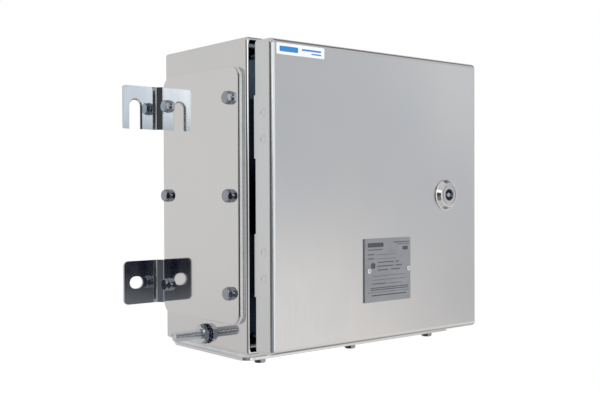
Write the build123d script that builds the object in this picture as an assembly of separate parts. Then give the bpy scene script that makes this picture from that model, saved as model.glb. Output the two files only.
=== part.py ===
"""Wall-mounted stainless steel enclosure holding a three-pole fused disconnect switch.

Sizes are in millimetres. The model is laid out from the middle of the bottom back edge of the
sheet steel body: X to the right, Y towards the wall, Z up, and the door faces -Y. Each piece is
then moved so that the origin lies on the wall, midway between the two lower fixing slots.
"""
import math
import os

from build123d import *

# ---------------------------------------------------------------- driving dimensions
# sheet steel body
BODY_W, BODY_D, BODY_H = 306.0, 148.0, 306.0
SHEET = 1.5                    # body and door sheet
BODY_BEND = 3.0                # outside bend radius of the body
HEM = 3.0                      # folded edge round the opening
CHANNEL_W = 11.0               # rain channel inside the folded edge
CHANNEL_FLOOR_Y = -138.0
LIP_TIP_Y = -168.0             # sealing lip that the door gasket closes on
SIDE_OPENING = (-120.0, -25.0, 50.0, 257.0)      # y0, y1, z0, z1 behind the side gland plate
BASE_OPENING = (-110.0, 110.0, -120.0, -25.0)    # x0, x1, y0, y1 above the base gland plate

# fasteners
M4, M5, M6, M10 = 4.0, 5.0, 6.0, 10.0
FREE = 0.3                     # radial clearance of a bolt hole
BOLT_FLATS, BOLT_HEAD = 11.0, 4.0
WASHER_OD, WASHER_T = 13.5, 1.6
NUT_FLATS, NUT_T = 10.0, 5.0
RUNNING = 0.05                 # radial clearance of a turning fit

# gland plates
PLATE_Y0, PLATE_Y1 = -141.0, -5.0      # front and rear edges of both plates
PLATE_CORNER = 12.0
SIDE_PLATE_T, SIDE_GASKET_T = 2.5, 3.0
SIDE_PLATE_Z0, SIDE_PLATE_Z1 = 28.5, 278.5
BASE_PLATE_T, BASE_GASKET_T = 3.0, 4.0
BASE_PLATE_W = 301.0
BOLT_Y = (-127.0, -14.0)
SIDE_BOLT_Z = (58.5, 153.5, 248.5)
BASE_BOLT_X = (-122.5, 0.0, 122.5)

# wall lugs
LUG_T = 2.5
LUG_STEP = 6.0                 # how far the lug's ear stands behind the body
LUG_H = 46.0
LUG_END_X = 200.5
LUG_BEND_X = 161.0             # where the ear starts to bend towards the body
LUG_ROOT_X = 112.0
LUG_BEND_R = 1.0               # inside bend radius
LUG_SCREW_X, LUG_SCREW_DZ = 128.0, 13.0
LUG_SEAL_T = 1.5
SLOT_X = 186.0
LOWER_SLOT_Z, UPPER_SLOT_Z = 61.0, 249.0
SLOT_W, LOWER_SLOT_L = 13.0, 16.0
SLOT_BEVEL = 1.6               # bevel round the open slot, on its front edge

# earth stud through the left wall
STUD_Y, STUD_Z = -77.3, 13.2
STUD_REACH, STUD_INSIDE = 38.0, 16.0
STUD_TIP_R = 4.8               # the free end beyond the nut, to the crests of its thread
STUD_NUT_FLATS = 17.0
STUD_NUT_T = 6.0
TOOTHED_T, TOOTHED_R, TOOTH_COUNT = 2.6, 10.3, 16

# door
DOOR_W = 298.0
DOOR_Z0, DOOR_Z1 = 3.2, 301.6
DOOR_FRONT_Y = -180.5
DOOR_REAR_Y = -156.5           # rear edge of the door's return flange
DOOR_TAB_Y = -154.3            # rear edge of the flange beside each hinge
DOOR_BEND = 5.5
DOOR_CORNER = 3.5
GASKET_IN, GASKET_OUT = 10.0, 19.5      # gasket outline, inset from the body's outline
WELD_Y = -168.3
WELD_DIMPLES = (13.0, -12.0)   # shallow weld marks on the flange beside each hinge

# concealed hinges
HINGE_X, HINGE_Y = -145.0, -155.0
HINGE_Z = (87.0, 219.0)        # middle of each hinge
HINGE_TAB = 60.0               # length of each flange tab and hinge leaf
PIN_R, KNUCKLE_R = 1.25, 2.2
DOOR_KNUCKLE = 19.0            # half length of the door's knuckle
BODY_KNUCKLE = 6.0             # length of each body knuckle
KNUCKLE_GAP = 0.2
LEAF_T = 2.0

# plate and label on the door
NAMEPLATE = (-30.0, 37.0, 43.5, 108.6)       # x0, x1, z0, z1
NAMEPLATE_T = 1.6
NAMEPLATE_RIVET_X, NAMEPLATE_RIVET_Z = (-24.3, 33.7), 75.7
RIVET_R = 1.6
LABEL = (-142.4, -83.0, 286.4, 297.0)
LABEL_T = 0.4

# quarter-turn lock
LOCK_X, LOCK_Z = 95.5, 153.0
ROSETTE_D, ROSETTE_H = 34.5, 5.5
ROSETTE_FACE_R = 12.6
LOCK_TUBE_R = 11.0
HOUSING_END_Y = -151.0
BARREL_R = 6.9
SQUARE = 8.0                   # drive square between the barrel and the cam
CAM_Y = -147.5                 # front face of the cam
CAM_T, CAM_W, CAM_L = 2.5, 16.0, 40.0
CAM_SCREW_L = 10.0
KEEPER_HALF_H, KEEPER_T = 16.0, 2.0
KEEPER_GAP = 0.6               # between the cam and the keeper
KEEPER_RIVET_Y, KEEPER_RIVET_DZ = -157.0, 10.0

# mounting plate
MOUNT_Y = -15.0                # back face of the plate
MOUNT_T = 2.5
MOUNT_HALF_W, MOUNT_Z0, MOUNT_Z1 = 125.0, 28.0, 278.0
MOUNT_FIX_X, MOUNT_FIX_Z = 112.5, (40.5, 265.5)

# rail and its terminals
RAIL_Z = 62.0
RAIL_HALF_L, RAIL_T = 90.0, 1.0
RAIL_H, RAIL_DEPTH = 35.0, 7.5
RAIL_WEB_H = 27.0
RAIL_SCREW_X = (-75.0, 75.0)
TERMINAL_W, TERMINAL_GAP = 6.2, 0.3
FEED_TERMINALS, EARTH_TERMINALS = 8, 2
ROW_START_X = -42.0
CLAMP_W = 8.0

# earth bar
EARTH_BAR_X, EARTH_BAR_Y = 100.0, -38.0
EARTH_BAR_Z = (85.0, 185.0)
EARTH_BAR_W, EARTH_BAR_T = 10.0, 8.0
EARTH_POST_Z = (95.0, 175.0)
EARTH_CLAMP_Z = [107.0 + 14.0 * k for k in range(5)]

# fused switch
SWITCH_X = -20.0
POLE_PITCH = 40.0
SWITCH_HALF_W = 67.5
SWITCH_Z0, SWITCH_SPLIT_Z, SWITCH_Z1 = 105.0, 176.0, 255.0
SWITCH_BASE_Y = -42.5          # front of the moulded base
SWITCH_FRONT_Y = -84.0         # front of the switch housing
WALL = 2.5                     # wall of the switch housing and of the fuse cover
BARRIER_Y = -72.0
SWITCH_SCREWS = [(SWITCH_X + dx, z) for dx in (-59.5, 59.5) for z in (SWITCH_Z0 + 8, SWITCH_Z1 - 8)]
STRIP_T = 2.5                  # thickness of the flat conductors
STRIP_HALF_W = 6.0
CONTACT_DX = 10.0
CONTACT_HALF_W = 4.0
CONTACT_TOP_Z = 195.0
CONTACT_Y = (-61.0, -53.0)
CONTACT_GAP = 0.2              # between the fixed and the moving contacts when the switch is on
TERMINAL_DZ = 7.0              # terminal screws stand this far beyond the base

# fuses
FUSE_R, FUSE_CAP_R, FUSE_L, FUSE_CAP_L = 6.8, 7.15, 51.0, 10.0
FUSE_Y, FUSE_Z = -57.0, 140.0
CLIP_H = 8.0

# switch mechanism
SHAFT_Z = 215.0
SHAFT_R = 4.0
HANDLE_BACK_Y = SWITCH_FRONT_Y - 3.0
CRANK_R = 8.5                  # throw of the crank: 12 mm of carriage travel in a quarter turn
CRANK_ANGLE = -45.0            # of the crank pin while the switch is on
CRANK_PIN_R = 2.0
CRANK_DISC_Y, CRANK_DISC_T = -72.0, 3.0
CARRIAGE_FRONT_Y, CARRIAGE_BACK_Y = -69.0, -63.0

# fuse cover
COVER_HINGE_Y, COVER_HINGE_Z = -82.0, 108.5
COVER_PIN_R = 1.5
COVER_TOP_Z = SWITCH_SPLIT_Z - 1.0
COVER_EYES = [(SWITCH_X - 50, SWITCH_X - 38), (SWITCH_X + 38, SWITCH_X + 50)]

# worked out from the above
WALL_FACE_Y = LUG_STEP + LUG_T
ORIGIN_SHIFT = Pos(0, -WALL_FACE_Y, -LOWER_SLOT_Z)
LEFT, RIGHT = -BODY_W / 2, BODY_W / 2
BACK, FRONT = -SHEET, -BODY_D
LIP_INSET = HEM + CHANNEL_W
LIP_INNER_X = RIGHT - LIP_INSET - SHEET
SIDE_STACK = SIDE_PLATE_T + SIDE_GASKET_T
BASE_STACK = BASE_PLATE_T + BASE_GASKET_T
LUG_Z = (LOWER_SLOT_Z, UPPER_SLOT_Z - 1.5)      # middle of the lower and the upper lugs
DOOR_INSIDE_Y = DOOR_FRONT_Y + SHEET
MOUNT_FRONT_Y = MOUNT_Y - MOUNT_T
MOUNT_FIXINGS = [(side * MOUNT_FIX_X, z) for side in (-1, 1) for z in MOUNT_FIX_Z]
RAIL_FRONT_Y = MOUNT_FRONT_Y - RAIL_DEPTH
TERMINAL_PITCH = TERMINAL_W + TERMINAL_GAP
POLES = [SWITCH_X + POLE_PITCH * k for k in (-1, 0, 1)]
CLIP_DZ = (FUSE_L - FUSE_CAP_L) / 2
CLIP_Z = (FUSE_Z - CLIP_DZ, FUSE_Z + CLIP_DZ)


# ---------------------------------------------------------------- small helpers
def block(x0, x1, y0, y1, z0, z1):
    """A box given by its faces."""
    size = (abs(x1 - x0), abs(y1 - y0), abs(z1 - z0))
    return Pos((x0 + x1) / 2, (y0 + y1) / 2, (z0 + z1) / 2) * Box(*size)


def peg(radius, length, radius2=None):
    """A round bar, or a cone, standing on the XY plane."""
    base = (Align.CENTER, Align.CENTER, Align.MIN)
    if radius2 is None:
        return Cylinder(radius, length, align=base)
    return Cone(radius, radius2, length, align=base)


def toward_left(x, y, z):
    """Placement whose own +Z points to -X."""
    return Pos(x, y, z) * Rot(0, -90, 0)


def toward_right(x, y, z):
    """Placement whose own +Z points to +X."""
    return Pos(x, y, z) * Rot(0, 90, 0)


def toward_front(x, y, z):
    """Placement whose own +Z points to -Y."""
    return Pos(x, y, z) * Rot(90, 0, 0)


def toward_wall(x, y, z):
    """Placement whose own +Z points to +Y."""
    return Pos(x, y, z) * Rot(-90, 0, 0)


def toward_floor(x, y, z):
    """Placement whose own +Z points to -Z."""
    return Pos(x, y, z) * Rot(180, 0, 0)


def group(shapes):
    """Several separate solids as one node."""
    return Compound([solid for shape in shapes for solid in shape.solids()])


def hexagon(flats, height):
    """A hexagonal prism with its corners bevelled at the top."""
    prism = extrude(RegularPolygon(flats / 2, 6, major_radius=False), height)
    crown = peg(flats / math.sqrt(3), height)
    crown = chamfer(crown.edges().sort_by(Axis.Z)[-1], 0.08 * flats)
    return prism & crown


def hex_bolt(diameter, flats, head, length):
    """A hexagon bolt: the head stands above Z = 0, the shank hangs below it."""
    shank = Pos(0, 0, -length) * peg(diameter / 2, length)
    shank = chamfer(shank.edges().sort_by(Axis.Z)[0], 0.12 * diameter)
    return hexagon(flats, head) + shank


def hex_nut(diameter, flats, height):
    return hexagon(flats, height) - peg(diameter / 2, height)


def ring(outer_r, inner_r, height):
    return peg(outer_r, height) - peg(inner_r, height)


def socket_screw(diameter, length):
    """A cylinder head screw with a hexagon socket; the head stands above Z = 0."""
    head = peg(0.8 * diameter, diameter)
    head = fillet(head.edges().sort_by(Axis.Z)[-1], 0.12 * diameter)
    socket = extrude(RegularPolygon(0.42 * diameter, 6, major_radius=False), 0.6 * diameter)
    shank = Pos(0, 0, -length) * peg(diameter / 2, length)
    return head - Pos(0, 0, 0.4 * diameter) * socket + shank


def slotted_screw(diameter, length):
    """A cheese head screw with a driver slot; the head stands above Z = 0."""
    head = peg(0.9 * diameter, 0.6 * diameter)
    head = fillet(head.edges().sort_by(Axis.Z)[-1], 0.1 * diameter)
    slot = Pos(0, 0, 0.5 * diameter) * Box(2 * diameter, 0.22 * diameter, 0.5 * diameter)
    shank = Pos(0, 0, -length) * peg(diameter / 2, length)
    return head - slot + shank


def framed(half_w, z0, z1, y0, y1, radius):
    """A slab with rounded corners that fills the opening's outline between two depths."""
    slab = block(-half_w, half_w, y0, y1, z0, z1)
    return fillet(slab.edges().filter_by(Axis.Y), radius)


def inset(distance, y0, y1, radius):
    """The body's front outline drawn in by a distance."""
    half_w = BODY_W / 2 - distance
    return framed(half_w, distance, BODY_H - distance, y0, y1, radius)


def rounded_pin(radius, length, round_off):
    """A round bar with its upper edge rounded, such as a rivet head or a cap."""
    return fillet(peg(radius, length).edges().sort_by(Axis.Z)[-1], round_off)


# ---------------------------------------------------------------- sheet steel body
def body_holes():
    """Clearance holes for every fastener that passes through the body."""
    small = peg(M6 / 2 + FREE, 6)
    holes = [toward_left(LEFT + 5, y, z) * small for y in BOLT_Y for z in SIDE_BOLT_Z]
    holes += [toward_floor(x, y, 5) * small for y in BOLT_Y for x in BASE_BOLT_X]
    holes += [toward_wall(x, -5, z) * small for x, z in lug_screw_places()]
    holes.append(toward_left(LEFT + 5, STUD_Y, STUD_Z) * peg(M10 / 2 + 0.2, 6))
    return holes


def enclosure_body():
    outer = fillet(block(LEFT, RIGHT, FRONT, 0, 0, BODY_H).edges(), BODY_BEND)
    cavity = block(LEFT + SHEET, RIGHT - SHEET, FRONT - 1, BACK, SHEET, BODY_H - SHEET)
    cavity = fillet(cavity.edges().filter_by(Axis.Y), BODY_BEND - SHEET)
    cavity = fillet(cavity.edges().group_by(Axis.Y)[-1], BODY_BEND - SHEET)
    shell = outer - cavity

    hem = outer & block(-BODY_W, BODY_W, FRONT - 1, CHANNEL_FLOOR_Y, -1, BODY_H + 1)
    body = shell + (hem - inset(HEM, FRONT - 2, 0, 2.0))

    y0, y1, z0, z1 = SIDE_OPENING
    side_cut = block(LEFT - 1, LEFT + 5, y0, y1, z0, z1)
    body -= fillet(side_cut.edges().filter_by(Axis.X), 6.0)
    x0, x1, y0, y1 = BASE_OPENING
    base_cut = block(x0, x1, y0, y1, -1, 5)
    body -= fillet(base_cut.edges().filter_by(Axis.Z), 6.0)
    for hole in body_holes():
        body -= hole
    return body


def sealing_frame():
    """The frame welded into the body's mouth: the floor of the rain channel and the sealing lip."""
    floor_back = CHANNEL_FLOOR_Y + SHEET
    frame = inset(SHEET, CHANNEL_FLOOR_Y, floor_back, BODY_BEND - SHEET)
    frame += inset(LIP_INSET, LIP_TIP_Y, floor_back, 7.0)
    return frame - inset(LIP_INSET + SHEET, LIP_TIP_Y - 1, 0, 5.5)


# ---------------------------------------------------------------- gland plates
def side_outline(x0, x1, grow=0.0):
    y0, y1 = PLATE_Y0 - grow, PLATE_Y1 + grow
    slab = block(x0, x1, y0, y1, SIDE_PLATE_Z0 - grow, SIDE_PLATE_Z1 + grow)
    return fillet(slab.edges().filter_by(Axis.X), PLATE_CORNER + grow)


def base_outline(z0, z1, grow=0.0):
    half = BASE_PLATE_W / 2 + grow
    slab = block(-half, half, PLATE_Y0 - grow, PLATE_Y1 + grow, z0, z1)
    return fillet(slab.edges().filter_by(Axis.Z), PLATE_CORNER + grow)


def drilled(piece, places):
    """The piece with a bolt's clearance hole through it at each place."""
    drill = Pos(0, 0, -20) * peg(M6 / 2 + FREE, 40)
    for place in places:
        piece -= place * drill
    return piece


def side_gland_plate():
    face = LEFT - SIDE_GASKET_T
    plate = side_outline(face - SIDE_PLATE_T, face)
    plate = fillet(plate.edges().group_by(Axis.X)[0], 0.5)
    return drilled(plate, side_bolt_places())


def side_gland_gasket():
    gasket = side_outline(LEFT - SIDE_GASKET_T, LEFT, grow=-0.3)
    y0, y1, z0, z1 = SIDE_OPENING
    gasket -= block(LEFT - 10, LEFT + 1, y0, y1, z0, z1)
    return drilled(gasket, side_bolt_places())


def base_gland_plate():
    plate = base_outline(-BASE_STACK, -BASE_GASKET_T)
    plate = fillet(plate.edges().group_by(Axis.Z)[0], 0.5)
    return drilled(plate, base_bolt_places())


def base_gland_gasket():
    gasket = base_outline(-BASE_GASKET_T, 0, grow=-0.8)
    x0, x1, y0, y1 = BASE_OPENING
    gasket -= block(x0, x1, y0, y1, -10, 1)
    return drilled(gasket, base_bolt_places())


def side_bolt_places():
    """Where the bolts meet the outer face of the side gland plate."""
    return [toward_left(LEFT - SIDE_STACK, y, z) for y in BOLT_Y for z in SIDE_BOLT_Z]


def base_bolt_places():
    """Where the bolts meet the outer face of the base gland plate."""
    return [toward_floor(x, y, -BASE_STACK) for y in BOLT_Y for x in BASE_BOLT_X]


def gland_washers():
    washer = ring(WASHER_OD / 2, M6 / 2 + 0.2, WASHER_T)
    rims = washer.edges().group_by(Axis.Z)[-1].filter_by(lambda edge: edge.radius > M6)
    washer = chamfer(rims, 0.3)
    return group([place * washer for place in side_bolt_places() + base_bolt_places()])


def gland_bolts():
    bolts = []
    for stack, places in ((SIDE_STACK, side_bolt_places()), (BASE_STACK, base_bolt_places())):
        length = WASHER_T + stack + SHEET + NUT_T + 2
        bolt = Pos(0, 0, WASHER_T) * hex_bolt(M6, BOLT_FLATS, BOLT_HEAD, length)
        bolts += [place * bolt for place in places]
    return group(bolts)


# ---------------------------------------------------------------- wall lugs
def lug_blank():
    """The left lug's bent strip, seen from above, extruded over the lug's height."""
    ramp_end = LUG_BEND_X - LUG_STEP
    slant = LUG_T * math.tan(math.radians(22.5))
    inside_bends = (-LUG_BEND_X, -ramp_end + slant)
    outside_bends = (-ramp_end, -LUG_BEND_X + slant)
    points = [
        (-LUG_END_X, LUG_STEP), (inside_bends[0], LUG_STEP), (outside_bends[0], 0), (-LUG_ROOT_X, 0),
        (-LUG_ROOT_X, LUG_T), (inside_bends[1], LUG_T), (outside_bends[1], WALL_FACE_Y),
        (-LUG_END_X, WALL_FACE_Y),
    ]
    blank = extrude(make_face(Polyline(*points, close=True)), LUG_H)
    for bends, radius in ((inside_bends, LUG_BEND_R), (outside_bends, LUG_BEND_R + LUG_T)):
        edges = [edge for edge in blank.edges().filter_by(Axis.Z)
                 if min(abs(edge.center().X - x) for x in bends) < 0.01]
        blank = fillet(edges, radius)
    return blank


def lug(z_middle, corner):
    """A left lug with its four corners rounded and its two screw holes."""
    blank = Pos(0, 0, z_middle - LUG_H / 2) * lug_blank()
    for x in (-LUG_END_X, -LUG_ROOT_X):
        edges = [edge for edge in blank.edges().filter_by(Axis.Y) if abs(edge.center().X - x) < 0.01]
        blank = fillet(edges, corner)
    for dz in (-LUG_SCREW_DZ, LUG_SCREW_DZ):
        blank -= toward_wall(-LUG_SCREW_X, -1, z_middle + dz) * peg(M6 / 2 + FREE, LUG_T + 2)
    return blank


def upper_lug():
    """A lug with a slot that is open at the bottom and bevelled round its front edge."""
    half = SLOT_W / 2
    wide = half + SLOT_BEVEL
    front, rear = LUG_STEP, LUG_STEP + SLOT_BEVEL
    bottom = LUG_Z[1] - LUG_H / 2 - 1
    arch = toward_wall(-SLOT_X, front, UPPER_SLOT_Z)
    outline = Polyline((-wide, front), (wide, front), (half, rear), (-half, rear), close=True)
    bevel = Pos(-SLOT_X, 0, bottom) * extrude(make_face(outline), UPPER_SLOT_Z - bottom)
    slot = block(-SLOT_X - half, -SLOT_X + half, front - 1, WALL_FACE_Y + 1, bottom, UPPER_SLOT_Z)
    blank = lug(LUG_Z[1], 2.5)
    blank -= slot + bevel
    return blank - arch * peg(half, LUG_T + 1) - arch * peg(wide, SLOT_BEVEL, half)


def lower_lug():
    """A lug with a closed slot, which lets the enclosure shift sideways on its bolt."""
    slot = extrude(SlotOverall(LOWER_SLOT_L, SLOT_W), LUG_T + 2)
    return lug(LUG_Z[0], 5.0) - toward_wall(-SLOT_X, LUG_STEP - 1, LOWER_SLOT_Z) * slot


def on_the_right(piece):
    return mirror(piece, about=Plane.YZ)


def lug_screw_places():
    return [(side * LUG_SCREW_X, z + dz) for side in (-1, 1) for z in LUG_Z
            for dz in (-LUG_SCREW_DZ, LUG_SCREW_DZ)]


def lug_screws():
    length = LUG_SEAL_T + SHEET + LUG_T + NUT_T + 0.3
    screw = hex_bolt(M6, NUT_FLATS, BOLT_HEAD, length)
    return group([toward_front(x, BACK - LUG_SEAL_T, z) * screw for x, z in lug_screw_places()])


def lug_seals():
    seal = ring(6.5, M6 / 2, LUG_SEAL_T)
    return group([toward_front(x, BACK, z) * seal for x, z in lug_screw_places()])


# ---------------------------------------------------------------- earth stud
def earth_stud():
    """A threaded stud through the left wall, clamped between an inner and an outer nut."""
    clamped = STUD_INSIDE + TOOTHED_T + STUD_NUT_T
    rod = chamfer(peg(M10 / 2, clamped).edges().sort_by(Axis.Z)[0], 1.0)
    tip = peg(STUD_TIP_R, STUD_REACH + STUD_INSIDE - clamped)
    rod += Pos(0, 0, clamped) * chamfer(tip.edges().sort_by(Axis.Z)[-1], 1.0)
    return toward_left(LEFT + STUD_INSIDE, STUD_Y, STUD_Z) * rod


def toothed_washer():
    """A lock washer whose outer teeth are twisted out of its plane."""
    root_r = 0.75 * TOOTHED_R
    tooth = Pos((root_r + TOOTHED_R) / 2, 0, TOOTHED_T / 2) * Rot(38, 0, 0) * Box(TOOTHED_R - root_r + 1, 2.9, 1)
    washer = Pos(0, 0, TOOTHED_T / 4) * ring(root_r, M10 / 2, TOOTHED_T / 2)
    for k in range(TOOTH_COUNT):
        washer += Rot(0, 0, 360 * k / TOOTH_COUNT) * tooth
    return washer & peg(TOOTHED_R, TOOTHED_T)


def on_stud(shape, gap):
    """A piece on the stud, a gap away from the wall's outer face."""
    return toward_left(LEFT - gap, STUD_Y, STUD_Z) * shape


def earth_stud_nuts():
    """One nut on the toothed washer and one inside the wall."""
    nut = hex_nut(M10, STUD_NUT_FLATS, STUD_NUT_T)
    return group([on_stud(nut, TOOTHED_T), toward_right(LEFT + SHEET, STUD_Y, STUD_Z) * nut])


# ---------------------------------------------------------------- concealed hinges
def on_hinge(shape, z):
    """A piece standing on the hinge axis at a height."""
    return Pos(HINGE_X, HINGE_Y, z) * shape


def hinge_spans(z):
    """The two body knuckles of one hinge."""
    start = DOOR_KNUCKLE + KNUCKLE_GAP
    return [(z - start - BODY_KNUCKLE, z - start), (z + start, z + start + BODY_KNUCKLE)]


def body_leaf(z):
    """A leaf on the channel floor that reaches forward and then across to its knuckles."""
    wall_x = HINGE_X + 3.0
    wall_x1 = wall_x + LEAF_T
    foot_y = CHANNEL_FLOOR_Y - LEAF_T
    wall_front = HINGE_Y + 4.0
    half = HINGE_TAB / 2 - 2
    leaf = block(LEFT + HEM + 1, wall_x1, foot_y, CHANNEL_FLOOR_Y, z - half, z + half)
    leaf += block(wall_x, wall_x1, wall_front, foot_y, z - half, z + half)
    for z0, z1 in hinge_spans(z):
        leaf += block(wall_x, wall_x1, HINGE_Y - 1, wall_front, z0, z1)
        leaf += block(HINGE_X, wall_x1, HINGE_Y - 1, HINGE_Y + 1, z0, z1)
        leaf += on_hinge(peg(KNUCKLE_R, BODY_KNUCKLE), z0)
        leaf -= on_hinge(peg(PIN_R, BODY_KNUCKLE + 2), z0 - 1)
    return leaf


def door_leaf(z):
    """A leaf inside the door's flange with one long knuckle."""
    inside = -DOOR_W / 2 + SHEET
    half = HINGE_TAB / 2 - 1
    length = 2 * DOOR_KNUCKLE
    leaf = block(inside, inside + LEAF_T, DOOR_INSIDE_Y + 4.5, HINGE_Y - 2.7, z - half, z + half)
    leaf += block(inside, HINGE_X, HINGE_Y - 3.0, HINGE_Y - 0.9, z - DOOR_KNUCKLE, z + DOOR_KNUCKLE)
    leaf += on_hinge(peg(KNUCKLE_R, length), z - DOOR_KNUCKLE)
    return leaf - on_hinge(peg(PIN_R + RUNNING, length + 2), z - DOOR_KNUCKLE - 1)


def hinge_pin(z):
    """A pin with a rounded cap at both ends."""
    half = DOOR_KNUCKLE + KNUCKLE_GAP + BODY_KNUCKLE
    cap = rounded_pin(2.0, 1.2, 0.5)
    pin = on_hinge(peg(PIN_R, 2 * half), z - half)
    pin += on_hinge(cap, z + half)
    return pin + on_hinge(Rot(180, 0, 0) * cap, z - half)


# ---------------------------------------------------------------- door
def door_panel():
    half = DOOR_W / 2
    outer = block(-half, half, DOOR_FRONT_Y, DOOR_REAR_Y, DOOR_Z0, DOOR_Z1)
    outer = fillet(outer.edges().filter_by(Axis.Y), DOOR_CORNER)
    outer = fillet(outer.edges().group_by(Axis.Y)[0], DOOR_BEND)
    inside = half - SHEET
    inner = block(-inside, inside, DOOR_INSIDE_Y, DOOR_REAR_Y + 5, DOOR_Z0 + SHEET, DOOR_Z1 - SHEET)
    inner = fillet(inner.edges().filter_by(Axis.Y), DOOR_CORNER - SHEET)
    inner = fillet(inner.edges().group_by(Axis.Y)[0], DOOR_BEND - SHEET)
    panel = outer - inner
    for z in HINGE_Z:
        tab_z = (z - HINGE_TAB / 2, z + HINGE_TAB / 2)
        panel += block(-half, -inside, DOOR_REAR_Y - 1, DOOR_TAB_Y, *tab_z)
        for dz in WELD_DIMPLES:
            panel -= toward_right(-half - 0.5, WELD_Y, z + dz) * peg(5.0, 0.9, 3.2)
    panel -= toward_front(LOCK_X, DOOR_FRONT_Y + 5, LOCK_Z) * peg(LOCK_TUBE_R + 0.2, 10)
    for place in nameplate_rivet_places():
        panel -= place * Pos(0, 0, -5) * peg(RIVET_R, 10)
    return panel


def door_gasket():
    back = LIP_TIP_Y - 0.3
    strip = inset(GASKET_IN, DOOR_INSIDE_Y, back, 9.0)
    strip -= inset(GASKET_OUT, DOOR_INSIDE_Y - 1, back + 1, 5.0)
    return fillet(strip.edges().group_by(Axis.Y)[-1], 2.0)


def nameplate_rivet_places():
    face = DOOR_FRONT_Y - NAMEPLATE_T
    return [toward_front(x, face, NAMEPLATE_RIVET_Z) for x in NAMEPLATE_RIVET_X]


def nameplate():
    x0, x1, z0, z1 = NAMEPLATE
    plate = block(x0, x1, DOOR_FRONT_Y - NAMEPLATE_T, DOOR_FRONT_Y, z0, z1)
    for place in nameplate_rivet_places():
        plate -= place * Pos(0, 0, -5) * peg(RIVET_R, 10)
    return plate


def nameplate_rivets():
    """Blind rivets, each with a hollow in the middle of its head."""
    head = rounded_pin(2.8, 1.1, 0.8) - peg(1.15, 1.2)
    rivet = head + Pos(0, 0, -5) * peg(RIVET_R, 5)
    return group([place * rivet for place in nameplate_rivet_places()])


def identification_label():
    x0, x1, z0, z1 = LABEL
    label = block(x0, x1, DOOR_FRONT_Y - LABEL_T, DOOR_FRONT_Y, z0, z1)
    return fillet(label.edges().filter_by(Axis.Y), 1.5)


# ---------------------------------------------------------------- quarter-turn lock
def lock_housing():
    """Rosette with a conical flank, and the tube that passes through the door."""
    rim, tube_l = 1.2, HOUSING_END_Y - DOOR_FRONT_Y
    profile = Polyline(
        (0, 0), (ROSETTE_D / 2, 0), (ROSETTE_D / 2, rim), (ROSETTE_D / 2 - 1.0, rim + 0.4),
        (ROSETTE_FACE_R + 0.9, ROSETTE_H - 0.3), (ROSETTE_FACE_R, ROSETTE_H), (0, ROSETTE_H), close=True)
    housing = revolve(Plane.XZ * make_face(profile), Axis.Z)
    housing += Pos(0, 0, -tube_l) * peg(LOCK_TUBE_R, tube_l)
    housing -= Pos(0, 0, ROSETTE_H - 1.0) * ring(10.6, 9.9, 2)
    housing -= Pos(0, 0, -tube_l - 1) * peg(BARREL_R, tube_l + ROSETTE_H + 2)
    return toward_front(LOCK_X, DOOR_FRONT_Y, LOCK_Z) * housing


def lock_seal():
    return toward_wall(LOCK_X, DOOR_INSIDE_Y, LOCK_Z) * ring(15.0, LOCK_TUBE_R, 1.5)


def lock_nut():
    nut = hexagon(28.0, 6.0) - peg(LOCK_TUBE_R, 6.0)
    return toward_wall(LOCK_X, DOOR_INSIDE_Y + 1.5, LOCK_Z) * nut


def drive_square(y0, y1):
    half = SQUARE / 2
    return block(LOCK_X - half, LOCK_X + half, y0, y1, LOCK_Z - half, LOCK_Z + half)


def lock_insert():
    """Turning barrel: a round recess with a centre pin and two bits, and a square at the back."""
    front = DOOR_FRONT_Y - ROSETTE_H + 0.6
    recess_end = front + 9.0
    start = toward_wall(LOCK_X, front, LOCK_Z)
    barrel = start * peg(BARREL_R - RUNNING, CAM_Y - 0.5 - front)
    barrel -= start * peg(6.2, recess_end - front)
    barrel += block(LOCK_X - 6.4, LOCK_X + 6.4, front + 2.0, recess_end, LOCK_Z - 1.6, LOCK_Z + 1.6)
    barrel += start * Pos(0, 0, 0.6) * peg(2.3, 8.4)
    barrel += drive_square(CAM_Y - 1, CAM_Y + CAM_T)
    return barrel - toward_front(LOCK_X, CAM_Y + CAM_T, LOCK_Z) * peg(M5 / 2, CAM_SCREW_L)


def lock_cam():
    """A flat cam that points up when unlocked."""
    half = CAM_W / 2
    blade = block(LOCK_X - half, LOCK_X + half, CAM_Y, CAM_Y + CAM_T, LOCK_Z - 10, LOCK_Z + CAM_L)
    blade = fillet(blade.edges().filter_by(Axis.Y), 5.0)
    return blade - drive_square(CAM_Y, CAM_Y + CAM_T)


def lock_cam_screw():
    washer_t = 1.2
    screw = ring(7.0, M5 / 2, washer_t)
    screw += Pos(0, 0, washer_t) * hexagon(8.0, 3.5)
    screw += Pos(0, 0, -CAM_SCREW_L) * peg(M5 / 2, CAM_SCREW_L + washer_t)
    return toward_wall(LOCK_X, CAM_Y + CAM_T, LOCK_Z) * screw


def keeper_rivet_places():
    x = LIP_INNER_X - KEEPER_T
    return [toward_left(x, KEEPER_RIVET_Y, LOCK_Z + dz) for dz in (-KEEPER_RIVET_DZ, KEEPER_RIVET_DZ)]


def lock_keeper():
    """An angle on the right sealing lip that the cam turns behind."""
    z0, z1 = LOCK_Z - KEEPER_HALF_H, LOCK_Z + KEEPER_HALF_H
    rear = CAM_Y - KEEPER_GAP
    keeper = block(LIP_INNER_X - KEEPER_T, LIP_INNER_X, KEEPER_RIVET_Y - 6, rear, z0, z1)
    keeper += block(LIP_INNER_X - 15, LIP_INNER_X, rear - KEEPER_T, rear, z0, z1)
    for place in keeper_rivet_places():
        keeper -= place * Pos(0, 0, -5) * peg(RIVET_R, 6)
    return keeper


def keeper_rivets():
    rivet = rounded_pin(3.0, 1.2, 0.8) + Pos(0, 0, -KEEPER_T) * peg(RIVET_R, KEEPER_T)
    return group([place * rivet for place in keeper_rivet_places()])


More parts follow.
